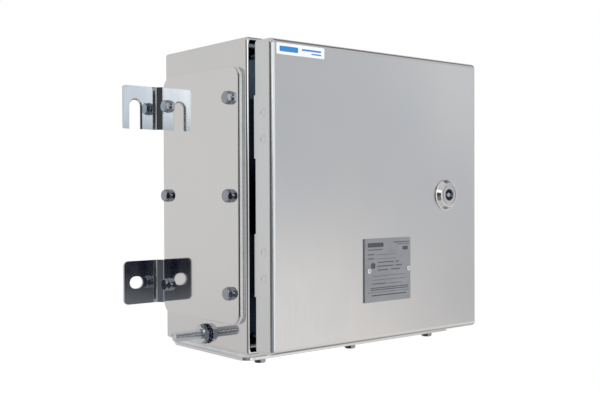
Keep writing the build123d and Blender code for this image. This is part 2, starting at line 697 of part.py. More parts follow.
# ---------------------------------------------------------------- mounting plate
def mounting_studs():
    """Spacers welded to the back of the body, each with a threaded end."""
    stud = peg(6.0, BACK - MOUNT_Y) + peg(M6 / 2, BACK - MOUNT_FRONT_Y + NUT_T + 3)
    return group([toward_front(x, BACK, z) * stud for x, z in MOUNT_FIXINGS])


def mounting_plate():
    plate = block(-MOUNT_HALF_W, MOUNT_HALF_W, MOUNT_FRONT_Y, MOUNT_Y, MOUNT_Z0, MOUNT_Z1)
    plate = fillet(plate.edges().filter_by(Axis.Y), 6.0)
    tapped = [(x, RAIL_Z) for x in RAIL_SCREW_X] + [(EARTH_BAR_X, z) for z in EARTH_POST_Z]
    tapped += SWITCH_SCREWS
    plate = drilled(plate, [toward_front(x, MOUNT_Y, z) for x, z in MOUNT_FIXINGS])
    for x, z in tapped:
        plate -= toward_front(x, MOUNT_Y, z) * peg(M5 / 2, MOUNT_T)
    return plate


def m6_nuts():
    """All the plain nuts: behind the gland plates, behind the lugs and on the mounting plate."""
    nut = hex_nut(M6, NUT_FLATS, NUT_T)
    nuts = []
    for stack, places in ((SIDE_STACK, side_bolt_places()), (BASE_STACK, base_bolt_places())):
        nuts += [place * Pos(0, 0, -stack - SHEET - NUT_T) * nut for place in places]
    nuts += [toward_wall(x, LUG_T, z) * nut for x, z in lug_screw_places()]
    nuts += [toward_front(x, MOUNT_FRONT_Y, z) * nut for x, z in MOUNT_FIXINGS]
    return group(nuts)


# ---------------------------------------------------------------- terminal rail
def din_rail():
    """Top-hat rail."""
    x0, x1 = -RAIL_HALF_L, RAIL_HALF_L
    web, edge = RAIL_WEB_H / 2, RAIL_H / 2
    rail = block(x0, x1, MOUNT_FRONT_Y - RAIL_T, MOUNT_FRONT_Y, RAIL_Z - web, RAIL_Z + web)
    for side in (-1, 1):
        foot, inner = RAIL_Z + side * web, RAIL_Z + side * (web - RAIL_T)
        rail += block(x0, x1, RAIL_FRONT_Y, MOUNT_FRONT_Y, inner, foot)
        rail += block(x0, x1, RAIL_FRONT_Y, RAIL_FRONT_Y + RAIL_T, inner, RAIL_Z + side * edge)
    for x in RAIL_SCREW_X:
        rail -= toward_front(x, MOUNT_FRONT_Y, RAIL_Z) * peg(M5 / 2 + 0.2, RAIL_T)
    return rail


def plate_screws():
    """Cheese head screws that hold the rail and the switch to the mounting plate."""
    screws = []
    for x in RAIL_SCREW_X:
        depth = RAIL_T + MOUNT_T + 1.5
        screws.append(toward_front(x, MOUNT_FRONT_Y - RAIL_T, RAIL_Z) * slotted_screw(M5, depth))
    for x, z in SWITCH_SCREWS:
        depth = MOUNT_FRONT_Y - SWITCH_BASE_Y + MOUNT_T + 1.0
        screws.append(toward_front(x, SWITCH_BASE_Y, z) * slotted_screw(M5, depth))
    return group(screws)


def terminal_block(x0):
    """A screw terminal: two wire funnels at its shoulders and two screw wells in its front."""
    front = RAIL_FRONT_Y - 36.0
    shoulder = RAIL_FRONT_Y - 24.0
    half, half_front = 22.0, 13.0
    outline = Polyline(
        (RAIL_FRONT_Y, RAIL_Z - half), (shoulder, RAIL_Z - half), (front, RAIL_Z - half_front),
        (front, RAIL_Z + half_front), (shoulder, RAIL_Z + half), (RAIL_FRONT_Y, RAIL_Z + half), close=True)
    body = Pos(x0, 0, 0) * extrude(Plane.YZ * make_face(outline), TERMINAL_W)
    middle, bore_r = x0 + TERMINAL_W / 2, 1.9
    for side in (-1, 1):
        z_well, z_funnel = RAIL_Z + side * 9, (RAIL_Z + side * 16, RAIL_Z + side * 23)
        body -= toward_front(middle, front + 8, z_well) * peg(bore_r, 10)
        body -= block(middle - bore_r, middle + bore_r, shoulder - 1.5, shoulder + 5.5, *z_funnel)
    return body


def terminal_row(start, count):
    return group([terminal_block(ROW_START_X + TERMINAL_PITCH * (start + k)) for k in range(count)])


def end_clamp(x0):
    clamp = block(x0, x0 + CLAMP_W, RAIL_FRONT_Y - 26, RAIL_FRONT_Y, RAIL_Z - 20, RAIL_Z + 20)
    clamp = fillet(clamp.edges().filter_by(Axis.X).group_by(Axis.Y)[0], 4.0)
    return clamp - toward_front(x0 + CLAMP_W / 2, RAIL_FRONT_Y - 18, RAIL_Z) * peg(2.6, 10)


def end_clamps():
    row_end = ROW_START_X + TERMINAL_PITCH * (FEED_TERMINALS + EARTH_TERMINALS)
    return group([end_clamp(ROW_START_X - CLAMP_W - TERMINAL_GAP), end_clamp(row_end)])


# ---------------------------------------------------------------- earth bar
def earth_bar():
    """Brass bar with a wire hole and a clamping screw at each place."""
    half = EARTH_BAR_W / 2
    front = EARTH_BAR_Y - EARTH_BAR_T
    bar = block(EARTH_BAR_X - half, EARTH_BAR_X + half, front, EARTH_BAR_Y, *EARTH_BAR_Z)
    bar = chamfer(bar.edges().filter_by(Axis.Z), 0.6)
    for z in EARTH_POST_Z:
        bar -= toward_front(EARTH_BAR_X, EARTH_BAR_Y, z) * peg(M5 / 2, EARTH_BAR_T)
    for z in EARTH_CLAMP_Z:
        bar -= toward_right(EARTH_BAR_X - half - 1, EARTH_BAR_Y - 4.5, z) * peg(2.6, EARTH_BAR_W + 2)
        bar -= toward_front(EARTH_BAR_X, front + 2, z) * peg(M4 / 2, 2)
    return bar


def earth_bar_posts():
    """Insulating spacers behind the bar."""
    post = ring(5.5, M5 / 2, MOUNT_FRONT_Y - EARTH_BAR_Y)
    return group([toward_front(EARTH_BAR_X, MOUNT_FRONT_Y, z) * post for z in EARTH_POST_Z])


def earth_bar_screws():
    front = EARTH_BAR_Y - EARTH_BAR_T
    depth = MOUNT_FRONT_Y - front + MOUNT_T + 1.0
    screws = [(z, slotted_screw(M4, 2.0)) for z in EARTH_CLAMP_Z]
    screws += [(z, slotted_screw(M5, depth)) for z in EARTH_POST_Z]
    return group([toward_front(EARTH_BAR_X, front, z) * screw for z, screw in screws])


# ---------------------------------------------------------------- fused switch: fixed pieces
def switch_base():
    """Moulded base with a barrier between the poles, beside the fuses."""
    x0, x1 = SWITCH_X - SWITCH_HALF_W, SWITCH_X + SWITCH_HALF_W
    base = block(x0, x1, SWITCH_BASE_Y, MOUNT_FRONT_Y, SWITCH_Z0, SWITCH_Z1)
    base = fillet(base.edges().filter_by(Axis.Y), 3.0)
    for dx in (-56.0, -POLE_PITCH / 2, POLE_PITCH / 2, 56.0):
        x = SWITCH_X + dx
        base += block(x - 1.5, x + 1.5, BARRIER_Y, SWITCH_BASE_Y, SWITCH_Z0 + 14, SWITCH_SPLIT_Z - 1)
    for x, z in SWITCH_SCREWS:
        base -= toward_front(x, MOUNT_FRONT_Y + 1, z) * peg(M5 / 2, 40)
    for x in POLES:
        for z0, z1 in ((SWITCH_Z0 - 1, SWITCH_Z0 + 5), (SWITCH_Z1 - 1.5, SWITCH_Z1 + 1)):
            base -= block(x - 9, x + 9, SWITCH_BASE_Y - 1, SWITCH_BASE_Y + 14, z0, z1)
    return base


def switch_housing():
    """Hollow housing over the contacts, open towards the base."""
    x0, x1 = SWITCH_X - SWITCH_HALF_W, SWITCH_X + SWITCH_HALF_W
    outer = block(x0, x1, SWITCH_FRONT_Y, SWITCH_BASE_Y, SWITCH_SPLIT_Z, SWITCH_Z1)
    outer = fillet(outer.edges().group_by(Axis.Y)[0] + outer.edges().filter_by(Axis.Y), 2.5)
    inner = block(x0 + WALL, x1 - WALL, SWITCH_FRONT_Y + WALL, SWITCH_BASE_Y + 1,
                  SWITCH_SPLIT_Z + WALL, SWITCH_Z1 - WALL)
    housing = outer - inner
    housing -= toward_front(SWITCH_X, SWITCH_FRONT_Y + 5, SHAFT_Z) * peg(SHAFT_R + RUNNING, 10)
    half, strip_front = STRIP_HALF_W + 1.5, SWITCH_BASE_Y - STRIP_T - 5.5
    for x in POLES:
        for z in (SWITCH_SPLIT_Z, SWITCH_Z1):
            housing -= block(x - half, x + half, strip_front, SWITCH_BASE_Y + 1, z - 5, z + 5)
    for k in range(7):
        z = SWITCH_SPLIT_Z + 12 + 4 * k
        for x in (SWITCH_X - 52, SWITCH_X + 52):
            housing -= block(x - 9, x + 9, SWITCH_FRONT_Y - 1, SWITCH_FRONT_Y + 0.8, z, z + 1.6)
    return housing


def strip(x0, x1, z0, z1):
    """A flat conductor lying on the switch base."""
    return block(x0, x1, SWITCH_BASE_Y - STRIP_T, SWITCH_BASE_Y, z0, z1)


def contact_pad(x):
    half = CONTACT_HALF_W
    return block(x - half, x + half, CONTACT_Y[0], SWITCH_BASE_Y, CONTACT_TOP_Z - 3, CONTACT_TOP_Z)


def line_contacts():
    """Incoming conductors: a contact pad, a riser behind the carriage and a terminal tongue."""
    pieces = []
    jog = CONTACT_TOP_Z + 9
    for x in POLES:
        contact_x = x - CONTACT_DX
        x0, x1 = contact_x - CONTACT_HALF_W, contact_x + CONTACT_HALF_W
        riser = strip(x0, x1, CONTACT_TOP_Z - 3, jog)
        across = strip(x0, x + STRIP_HALF_W, jog, jog + 6)
        tongue = strip(x - STRIP_HALF_W, x + STRIP_HALF_W, jog, SWITCH_Z1 + 14)
        pieces.append(contact_pad(contact_x) + riser + across + tongue)
    return group(pieces)


def fuse_links():
    """Conductors from the right-hand contact down to the upper fuse clip."""
    pieces = []
    jog = CONTACT_TOP_Z - 11
    for x in POLES:
        contact_x = x + CONTACT_DX
        x0, x1 = contact_x - CONTACT_HALF_W, contact_x + CONTACT_HALF_W
        drop = strip(x0, x1, jog, CONTACT_TOP_Z - 3)
        across = strip(x - STRIP_HALF_W, x1, jog - 5, jog)
        foot = strip(x - STRIP_HALF_W, x + STRIP_HALF_W, CLIP_Z[1] + CLIP_H / 2, jog - 5)
        pieces.append(contact_pad(contact_x) + drop + across + foot)
    return group(pieces)


def fuse_clip(x, z):
    clip = block(x - 9.5, x + 9.5, FUSE_Y - 4.5, SWITCH_BASE_Y, z - CLIP_H / 2, z + CLIP_H / 2)
    bore = Pos(x, FUSE_Y, z - 10) * peg(FUSE_CAP_R + 0.05, 20)
    mouth = block(x - 5.6, x + 5.6, FUSE_Y - 20, FUSE_Y, z - 10, z + 10)
    relief = block(x - 7.0, x + 7.0, FUSE_Y + 8.6, SWITCH_BASE_Y - STRIP_T, z - 10, z + 10)
    return clip - bore - mouth - relief


def fuse_clips():
    return group([fuse_clip(x, z) for x in POLES for z in CLIP_Z])


def load_terminals():
    """Tongues from the lower fuse clips to the outgoing terminals."""
    pieces = []
    for x in POLES:
        tongue = strip(x - STRIP_HALF_W, x + STRIP_HALF_W, SWITCH_Z0 - 14, CLIP_Z[0] - CLIP_H / 2)
        pieces.append(tongue - toward_front(x, SWITCH_BASE_Y, SWITCH_Z0 - TERMINAL_DZ) * peg(M6 / 2, STRIP_T))
    return group(pieces)


def terminal_screws():
    """A screw head on two washers at each end of every pole."""
    screw = ring(6.5, 2.9, 1.6)
    screw += Pos(0, 0, 1.5) * peg(4.4, 1.7)
    screw += Pos(0, 0, 3.1) * socket_screw(M6, 3.0)
    places = [(x, z) for x in POLES for z in (SWITCH_Z0 - TERMINAL_DZ, SWITCH_Z1 + TERMINAL_DZ)]
    return group([toward_front(x, SWITCH_BASE_Y - STRIP_T, z) * screw for x, z in places])


# ---------------------------------------------------------------- fuses
def fuse_bodies():
    inside = FUSE_L - 2 * FUSE_CAP_L
    tube = peg(FUSE_R, inside)
    return group([Pos(x, FUSE_Y, FUSE_Z - inside / 2) * tube for x in POLES])


def fuse_caps():
    cap = rounded_pin(FUSE_CAP_R, FUSE_CAP_L, 0.8)
    start = FUSE_L / 2 - FUSE_CAP_L
    pieces = [Pos(x, FUSE_Y, FUSE_Z + start) * cap for x in POLES]
    pieces += [Pos(x, FUSE_Y, FUSE_Z - start) * Rot(180, 0, 0) * cap for x in POLES]
    return group(pieces)


# ---------------------------------------------------------------- fuse cover
def fuse_cover():
    """Slotted cover with cheeks that turns down on a rod at its lower edge."""
    half = SWITCH_HALF_W - 0.5
    front, back = SWITCH_FRONT_Y, SWITCH_FRONT_Y + WALL
    bottom = COVER_HINGE_Z + 4
    cover = block(SWITCH_X - half, SWITCH_X + half, front, back, bottom, COVER_TOP_Z)
    cover = fillet(cover.edges().filter_by(Axis.Y), 2.0)
    for x0 in (SWITCH_X - half, SWITCH_X + half - WALL):
        cover += block(x0, x0 + WALL, front, BARRIER_Y - 2, bottom, COVER_TOP_Z - 2)
    for k in range(9):
        z = COVER_HINGE_Z + 18 + 4.5 * k
        cover -= block(SWITCH_X - 48, SWITCH_X + 48, front - 1, back + 1, z, z + 1.8)
    grip = block(SWITCH_X - 14, SWITCH_X + 14, front - 5, front, COVER_TOP_Z - 8, COVER_TOP_Z - 5)
    cover += fillet(grip.edges().filter_by(Axis.X).group_by(Axis.Y)[0], 1.0)
    for x0, x1 in COVER_EYES:
        cover += toward_right(x0, COVER_HINGE_Y, COVER_HINGE_Z) * peg(3.5, x1 - x0)
        cover += block(x0, x1, front, back, COVER_HINGE_Z, bottom + 1)
        cover -= toward_right(x0 - 1, COVER_HINGE_Y, COVER_HINGE_Z) * peg(COVER_PIN_R + RUNNING, x1 - x0 + 2)
    return cover


def cover_hinge():
    """Rod and the two arms of the base that hold it."""
    hinge = toward_right(SWITCH_X - 55, COVER_HINGE_Y, COVER_HINGE_Z) * peg(COVER_PIN_R, 110)
    for x0 in (SWITCH_X - 54.5, SWITCH_X + 51.5):
        arm = block(x0, x0 + 3, COVER_HINGE_Y - 3, SWITCH_BASE_Y, COVER_HINGE_Z - 3, COVER_HINGE_Z + 3)
        hinge += fillet(arm.edges().filter_by(Axis.X).group_by(Axis.Y)[0], 2.5)
    return hinge


# ---------------------------------------------------------------- switch mechanism
def on_shaft(shape, y):
    """A piece centred on the shaft's axis, starting at a depth and growing to the front."""
    return toward_front(SWITCH_X, y, SHAFT_Z) * shape


def crank_pin_offset():
    """The crank pin's place beside and above the shaft while the switch is on."""
    angle = math.radians(CRANK_ANGLE)
    return CRANK_R * math.cos(angle), CRANK_R * math.sin(angle)


def switch_escutcheon():
    """Round plate on the housing, behind the handle."""
    disc = chamfer(peg(27.0, 2.0).edges().sort_by(Axis.Z)[-1], 0.5)
    return on_shaft(disc - peg(SHAFT_R + 0.5, 2.0), SWITCH_FRONT_Y)


def switch_handle():
    """Round hub with an upright grip."""
    grip = Pos(0, 0, 14) * Box(13.0, 46.0, 18.0)
    grip = fillet(grip.edges().filter_by(Axis.Z), 4.0)
    handle = rounded_pin(22.0, 6.0, 2.0) + fillet(grip.edges().group_by(Axis.Z)[-1], 2.0)
    for side in (-1, 1):
        handle -= Pos(side * 10.5, 0, 14) * Rot(90, 0, 0) * Cylinder(6.0, 34.0)
    return on_shaft(handle - peg(SHAFT_R, 16), HANDLE_BACK_Y)


def switch_shaft():
    """Shaft with a crank disc inside the housing and a pin that moves the contact carriage."""
    dx, dz = crank_pin_offset()
    shaft = on_shaft(peg(SHAFT_R, CRANK_DISC_Y - HANDLE_BACK_Y + 15), CRANK_DISC_Y)
    shaft += on_shaft(peg(12.5, CRANK_DISC_T), CRANK_DISC_Y)
    return shaft + toward_front(SWITCH_X + dx, -61.5, SHAFT_Z + dz) * peg(CRANK_PIN_R, 11)


def contact_carriage():
    """Insulating bar with a slot for the crank pin and a block over each pole."""
    dx, dz = crank_pin_offset()
    pin_z = SHAFT_Z + dz
    slot_x = SWITCH_X + (dx + CRANK_R) / 2
    front, back = CARRIAGE_FRONT_Y, CARRIAGE_BACK_Y
    bar = block(SWITCH_X - 60, SWITCH_X + 60, front, back, pin_z - 7, pin_z + 7)
    bar -= toward_front(slot_x, back + 2, pin_z) * extrude(SlotOverall(9.0, 2 * CRANK_PIN_R + 0.9), 10)
    for x in POLES:
        bar += block(x - 12, x + 12, back, CONTACT_Y[1] + 1, contact_bar_z()[1], pin_z - 3)
    return bar - block(slot_x - 6.5, slot_x + 6.5, back - 1, back + 5, pin_z - 4, pin_z + 7)


def contact_bar_z():
    """Lower and upper faces of the moving contacts while the switch is on."""
    z0 = CONTACT_TOP_Z + CONTACT_GAP
    return z0, z0 + 2.0


def moving_contacts():
    return group([block(x - 14, x + 14, *CONTACT_Y, *contact_bar_z()) for x in POLES])


# ---------------------------------------------------------------- write the pieces
def build():
    """Every node of the assembly by name."""
    return {
        "enclosure_body": enclosure_body(),
        "sealing_frame": sealing_frame(),
        "side_gland_plate": side_gland_plate(),
        "side_gland_gasket": side_gland_gasket(),
        "base_gland_plate": base_gland_plate(),
        "base_gland_gasket": base_gland_gasket(),
        "gland_washers": gland_washers(),
        "gland_bolts": gland_bolts(),
        "m6_nuts": m6_nuts(),
        "upper_left_lug": upper_lug(),
        "upper_right_lug": on_the_right(upper_lug()),
        "lower_left_lug": lower_lug(),
        "lower_right_lug": on_the_right(lower_lug()),
        "lug_screws": lug_screws(),
        "lug_seals": lug_seals(),
        "earth_stud": earth_stud(),
        "earth_toothed_washer": on_stud(toothed_washer(), 0),
        "earth_stud_nuts": earth_stud_nuts(),
        "hinge_body_leaves": group([body_leaf(z) for z in HINGE_Z]),
        "hinge_pins": group([hinge_pin(z) for z in HINGE_Z]),
        "lock_keeper": lock_keeper(),
        "keeper_rivets": keeper_rivets(),
        "mounting_studs": mounting_studs(),
        "mounting_plate": mounting_plate(),
        "plate_screws": plate_screws(),
        "din_rail": din_rail(),
        "feed_terminals": terminal_row(0, FEED_TERMINALS),
        "earth_terminals": terminal_row(FEED_TERMINALS, EARTH_TERMINALS),
        "end_clamps": end_clamps(),
        "earth_bar": earth_bar(),
        "earth_bar_posts": earth_bar_posts(),
        "earth_bar_screws": earth_bar_screws(),
        "switch_base": switch_base(),
        "switch_housing": switch_housing(),
        "switch_escutcheon": switch_escutcheon(),
        "line_contacts": line_contacts(),
        "fuse_links": fuse_links(),
        "fuse_clips": fuse_clips(),
        "load_terminals": load_terminals(),
        "terminal_screws": terminal_screws(),
        "fuse_bodies": fuse_bodies(),
        "fuse_caps": fuse_caps(),
        "cover_hinge": cover_hinge(),
        "fuse_cover": fuse_cover(),
        "switch_handle": switch_handle(),
        "switch_shaft": switch_shaft(),
        "contact_carriage": contact_carriage(),
        "moving_contacts": moving_contacts(),
        "door_panel": door_panel(),
        "door_gasket": door_gasket(),
        "hinge_door_leaves": group([door_leaf(z) for z in HINGE_Z]),
        "nameplate": nameplate(),
        "nameplate_rivets": nameplate_rivets(),
        "identification_label": identification_label(),
        "lock_housing": lock_housing(),
        "lock_seal": lock_seal(),
        "lock_nut": lock_nut(),
        "lock_insert": lock_insert(),
        "lock_cam": lock_cam(),
        "lock_cam_screw": lock_cam_screw(),
    }


os.makedirs("parts", exist_ok=True)
for name, shape in build().items():
    export_step(ORIGIN_SHIFT * shape, f"parts/{name}.step")
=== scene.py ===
"""Visual model of a wall-mounted stainless steel enclosure with a fused disconnect switch inside.

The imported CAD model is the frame. Its nodes keep their shapes and get detailed materials. The earth
stud is replaced by a threaded one, and the plate and the label get printed bars. Lengths are in metres.
"""
import math

import bmesh
import bpy
from mathutils import Matrix, Vector


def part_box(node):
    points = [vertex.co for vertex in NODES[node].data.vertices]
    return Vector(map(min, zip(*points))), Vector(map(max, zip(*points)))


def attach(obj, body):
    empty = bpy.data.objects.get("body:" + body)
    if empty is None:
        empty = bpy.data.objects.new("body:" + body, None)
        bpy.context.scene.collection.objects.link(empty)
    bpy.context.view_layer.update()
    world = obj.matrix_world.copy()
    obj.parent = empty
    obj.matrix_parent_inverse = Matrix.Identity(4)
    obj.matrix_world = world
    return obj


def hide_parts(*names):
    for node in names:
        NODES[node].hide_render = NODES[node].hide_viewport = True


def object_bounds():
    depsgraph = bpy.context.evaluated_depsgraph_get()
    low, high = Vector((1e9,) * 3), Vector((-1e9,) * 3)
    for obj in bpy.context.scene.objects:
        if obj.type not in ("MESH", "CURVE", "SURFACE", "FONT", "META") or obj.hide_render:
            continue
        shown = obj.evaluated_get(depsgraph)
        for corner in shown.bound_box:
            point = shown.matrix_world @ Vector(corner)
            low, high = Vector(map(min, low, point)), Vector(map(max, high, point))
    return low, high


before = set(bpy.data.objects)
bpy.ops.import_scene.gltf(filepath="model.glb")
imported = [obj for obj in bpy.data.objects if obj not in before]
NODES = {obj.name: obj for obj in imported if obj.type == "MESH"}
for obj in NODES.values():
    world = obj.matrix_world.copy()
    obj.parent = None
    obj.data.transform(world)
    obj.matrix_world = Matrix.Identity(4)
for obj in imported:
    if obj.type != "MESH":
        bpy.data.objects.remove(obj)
CAD_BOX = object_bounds()

CAMERA_PLACE = Vector((-0.6603, -0.8441, 0.0978))
CAMERA_YAW, CAMERA_PITCH, CAMERA_ROLL = 0.6949, -0.0111, -0.0035
CAMERA_LENS = 53.55
FLOOR_DROP, FLOOR_HALF = 0.55, 2.2     # the floor's depth below the wall-mounted box, and half its width
PRINT_T = 0.00008              # thickness of printed bars
THREAD_PITCH, THREAD_DEPTH, THREAD_SIDES = 0.0015, 0.0006, 32
THREAD_START, TIP_CHAMFER = 0.0008, 0.0002      # the plain length at each end of the stud, and its step
PAINTED_GAP_SHADE = (0.07, 0.10, 0.13)        # painted shade: dark colour painted on the steel in the narrow gap behind the door, where shade falls
CHANNEL_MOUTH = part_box("sealing_frame")[1][1]      # depth of the rain channel's floor


# ------------------------------------------------------------------------------ material kit
class Shade:
    """A Principled material with short calls for the textures that drive it."""

    def __init__(self, name, color, metallic=0.0, roughness=0.5, **constants):
        self.material = bpy.data.materials.new(name)
        self.material.use_nodes = True
        self.tree = self.material.node_tree
        self.shader = self.tree.nodes["Principled BSDF"]
        self.shader.inputs["Base Color"].default_value = (*color, 1.0)
        self.shader.inputs["Metallic"].default_value = metallic
        self.shader.inputs["Roughness"].default_value = roughness
        for key, value in constants.items():
            self.shader.inputs[key.replace("_", " ")].default_value = value
        self.place = self.add("ShaderNodeTexCoord").outputs["Object"]

    def add(self, kind):
        return self.tree.nodes.new(kind)

    def link(self, source, target):
        self.tree.links.new(source, target)

    def stretched(self, scale):
        """Object coordinates, multiplied along each axis."""
        mapping = self.add("ShaderNodeMapping")
        mapping.inputs["Scale"].default_value = scale
        self.link(self.place, mapping.inputs["Vector"])
        return mapping.outputs["Vector"]

    def noise(self, scale, detail=3.0, rough=0.55, stretch=(1, 1, 1)):
        """A noise value, drawn out where stretch is under 1."""
        node = self.add("ShaderNodeTexNoise")
        node.inputs["Scale"].default_value = scale
        node.inputs["Detail"].default_value = detail
        node.inputs["Roughness"].default_value = rough
        self.link(self.stretched(stretch), node.inputs["Vector"])
        return node.outputs["Fac"]

    def cells(self, scale, output="Distance"):
        node = self.add("ShaderNodeTexVoronoi")
        node.inputs["Scale"].default_value = scale
        self.link(self.stretched((1, 1, 1)), node.inputs["Vector"])
        return node.outputs[output]

    def spread(self, value, low, high, start=0.3, end=0.7):
        """A value's range start to end, spread over low to high."""
        node = self.add("ShaderNodeMapRange")
        node.inputs["From Min"].default_value = start
        node.inputs["From Max"].default_value = end
        node.inputs["To Min"].default_value = low
        node.inputs["To Max"].default_value = high
        self.link(value, node.inputs["Value"])
        return node.outputs["Result"]

    def along(self, axis):
        """One object coordinate, in metres."""
        node = self.add("ShaderNodeSeparateXYZ")
        self.link(self.place, node.inputs["Vector"])
        return node.outputs[axis]

    def product(self, first, second):
        node = self.add("ShaderNodeMath")
        node.operation = "MULTIPLY"
        self.link(first, node.inputs[0])
        self.link(second, node.inputs[1])
        return node.outputs["Value"]

    def blend(self, factor, color_a, color_b):
        """A colour between two, by a factor from 0 to 1."""
        node = self.add("ShaderNodeMix")
        node.data_type = "RGBA"
        self.link(factor, node.inputs["Factor"])
        for key, color in ((6, color_a), (7, color_b)):
            if isinstance(color, tuple):
                node.inputs[key].default_value = (*color, 1.0)
            else:
                self.link(color, node.inputs[key])
        return node.outputs[2]

    def color(self, value):
        self.link(value, self.shader.inputs["Base Color"])

    def roughness(self, value):
        self.link(value, self.shader.inputs["Roughness"])

    def bump(self, value, strength, distance):
        """Adds a height on top of any earlier one."""
        node = self.add("ShaderNodeBump")
        node.inputs["Strength"].default_value = strength
        node.inputs["Distance"].default_value = distance
        self.link(value, node.inputs["Height"])
        normal = self.shader.inputs["Normal"]
        if normal.links:
            self.link(normal.links[0].from_socket, node.inputs["Normal"])
        self.link(node.outputs["Normal"], normal)

    def worn_edges(self, radius, low, high):
        """A factor that rises where the surface turns sharply within a radius."""
        bevel = self.add("ShaderNodeBevel")
        bevel.samples = 4
        bevel.inputs["Radius"].default_value = radius
        geometry = self.add("ShaderNodeNewGeometry")
        dot = self.add("ShaderNodeVectorMath")
        dot.operation = "DOT_PRODUCT"
        self.link(bevel.outputs["Normal"], dot.inputs[0])
        self.link(geometry.outputs["Normal"], dot.inputs[1])
        return self.spread(dot.outputs["Value"], high, low, 0.75, 0.99)

    def crevices(self, reach):
        """A factor for painted shade that rises to 1 in narrow gaps, where surfaces within a reach hide
        most of the sky.
        """
        node = self.add("ShaderNodeAmbientOcclusion")
        node.samples = 8
        node.inputs["Distance"].default_value = reach
        return self.spread(node.outputs["AO"], 1.0, 0.0, 0.3, 0.75)


def brushed(name, color, shade, roughness, grain, wave=0.35, streak=0.45, painted_shade_reach=0.0):
    """Stainless sheet: fine grain along one axis, cloudy roughness, a slight waviness and painted shade
    darkening the crevices in front of the rain channel's floor.
    """
    s = Shade(name, color, 1.0, roughness)
    streaks = s.noise(900.0, 4.0, 0.6, grain)
    clouds = s.noise(9.0, 2.0, 0.5)
    tint = s.blend(s.spread(clouds, 0.0, 1.0), color, shade)
    dark = tuple(0.86 * part for part in color)
    sheet = s.blend(s.spread(streaks, 0.0, streak), tint, dark)
    if painted_shade_reach:
        # painted shade: occluded steel in front of the rain channel's floor is darkened towards the painted
        # gap shade colour
        depth = s.spread(s.along("Y"), 1.0, 0.0, CHANNEL_MOUTH, CHANNEL_MOUTH + 0.001)
        sheet = s.blend(s.product(s.crevices(painted_shade_reach), depth), sheet, PAINTED_GAP_SHADE)
    s.color(sheet)
    smudge = s.noise(26.0, 5.0, 0.65)
    s.roughness(s.spread(s.product(s.spread(streaks, 0.85, 1.15), s.spread(smudge, 0.85, 1.15)),
                         0.78 * roughness, 1.22 * roughness, 0.72, 1.32))
    s.bump(streaks, 0.13 * streak, 0.00004)
    s.bump(s.noise(5.0, 1.0, 0.4), wave, 0.0006)
    return s.material


def turned(name, color, roughness):
    """Machined or rolled steel for fasteners: tiny tool marks, dull speckles and brighter corners."""
    s = Shade(name, color, 1.0, roughness)
    marks = 1400.0
    speckle = s.noise(700.0, 4.0, 0.6)
    dull = tuple(0.72 * part for part in color)
    bright = tuple(min(1.0, 1.25 * part) for part in color)
    base = s.blend(s.spread(speckle, 0.0, 1.0), color, dull)
    s.color(s.blend(s.worn_edges(0.0004, 0.0, 0.7), base, bright))
    s.roughness(s.spread(s.noise(marks, 2.0, 0.5), 0.7 * roughness, 1.4 * roughness))
    s.bump(s.noise(marks, 3.0, 0.6), 0.12, 0.00006)
    return s.material


def moulded(name, color, roughness=0.45, **constants):
    """Moulded plastic: spark-eroded grain, slight shade changes and lighter rubbed edges."""
    s = Shade(name, color, 0.0, roughness, **constants)
    patches = s.noise(45.0, 3.0, 0.5)
    lighter = tuple(min(1.0, 1.18 * part + 0.012) for part in color)
    darker = tuple(0.86 * part for part in color)
    base = s.blend(s.spread(patches, 0.0, 1.0), darker, lighter)
    rubbed = tuple(min(1.0, 1.35 * part + 0.05) for part in color)
    s.color(s.blend(s.worn_edges(0.0005, 0.0, 0.6), base, rubbed))
    s.roughness(s.spread(patches, 0.8 * roughness, 1.2 * roughness))
    s.bump(s.cells(2200.0), 0.25, 0.00005)
    return s.material


def foam(name, color):
    """Cellular rubber: open pores and dusty patches."""
    s = Shade(name, color, 0.0, 0.85)
    pores = s.cells(1800.0)
    dust = s.noise(60.0, 4.0, 0.6)
    dark = tuple(0.55 * part for part in color)
    light = tuple(min(1.0, 1.12 * part + 0.01) for part in color)
    tint = s.blend(s.spread(dust, 0.0, 1.0), color, light)
    s.color(s.blend(s.spread(pores, 1.0, 0.0, 0.1, 0.5), tint, dark))
    s.roughness(s.spread(dust, 0.75, 0.95))
    s.bump(pores, 0.5, 0.00015)
    return s.material


def polished(name, color, roughness):
    """Plated or polished metal: clear reflections with faint wipe marks and tiny pits."""
    s = Shade(name, color, 1.0, roughness)
    wipes = s.noise(60.0, 5.0, 0.7, (1, 1, 0.25))
    pits = s.noise(1500.0, 2.0, 0.5)
    duller = tuple(0.88 * part for part in color)
    s.color(s.blend(s.spread(wipes, 0.0, 0.8), color, duller))
    s.roughness(s.spread(wipes, 0.6 * roughness, 1.6 * roughness))
    s.bump(pits, 0.05, 0.00002)
    return s.material


def galvanised(name):
    """Zinc spangle: flat crystals of slightly different greys."""
    s = Shade(name, (0.62, 0.64, 0.66), 1.0, 0.38)
    crystals = s.cells(120.0, output="Color")
    gray = s.add("ShaderNodeRGBToBW")
    s.link(crystals, gray.inputs["Color"])
    value = gray.outputs["Val"]
    s.color(s.blend(s.spread(value, 0.0, 1.0, 0.2, 0.8), (0.50, 0.52, 0.55), (0.70, 0.72, 0.74)))
    s.roughness(s.spread(value, 0.28, 0.52, 0.2, 0.8))
    s.bump(s.noise(200.0, 2.0, 0.5), 0.1, 0.0001)
    return s.material


def copper(name):
    """Tinned copper: warm under a thin dull plating that wears through in patches."""
    s = Shade(name, (0.80, 0.52, 0.38), 1.0, 0.32)
    patches = s.noise(110.0, 5.0, 0.65)
    s.color(s.blend(s.spread(patches, 0.0, 1.0, 0.35, 0.65), (0.78, 0.46, 0.32), (0.74, 0.66, 0.58)))
    s.roughness(s.spread(patches, 0.22, 0.48))
    s.bump(s.noise(1300.0, 3.0, 0.6), 0.1, 0.00005)
    return s.material


